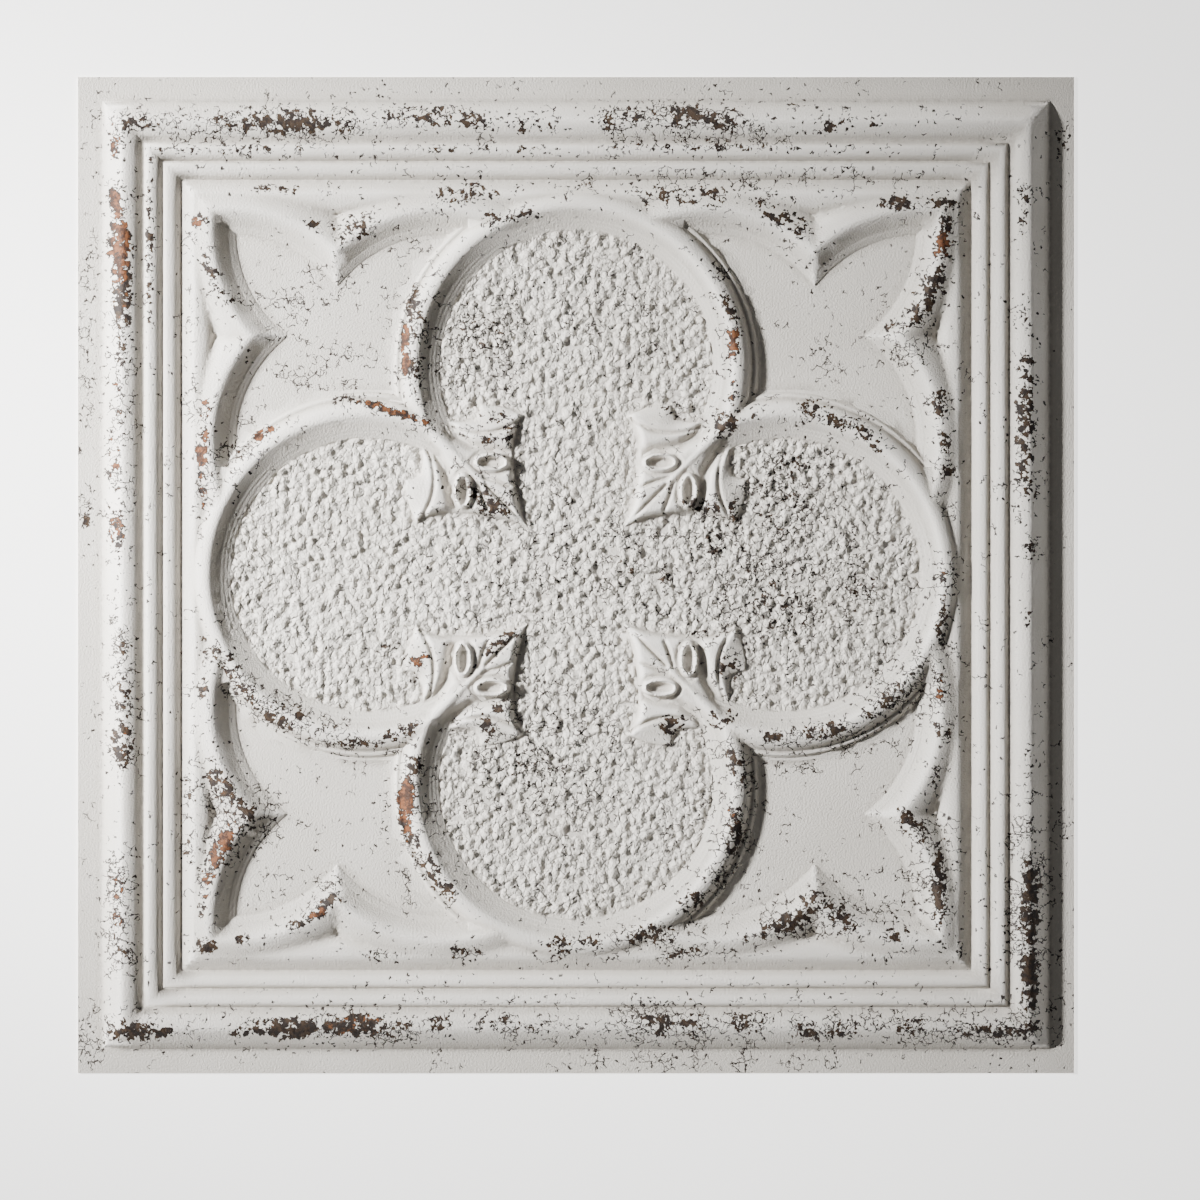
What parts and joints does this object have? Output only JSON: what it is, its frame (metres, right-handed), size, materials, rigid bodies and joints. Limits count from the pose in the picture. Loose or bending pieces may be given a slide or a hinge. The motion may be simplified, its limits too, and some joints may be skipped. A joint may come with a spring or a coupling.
{
  "type": "ceiling tile",
  "caption": "Square decorative ceiling tile: a thin formed sheet with a flat edge, stepped frame mouldings, a ring quatrefoil, cusped corner tracery and leaf ends, in chipped white paint.",
  "frame": {"origin": "middle of the tile on the plane of the back of its flat edge", "axes": "+Z out of the decorated face, +X and +Y along the tile's sides as the picture's right and up"},
  "size_m": [0.6032, 0.6032, 0.012],
  "materials": {
    "painted_sheet": "warm white paint, rubbed through to copper and dark brown undercoats"
  },
  "bodies": {
    "root": {"ceiling_tile": "painted_sheet"}
  },
  "joints": []
}
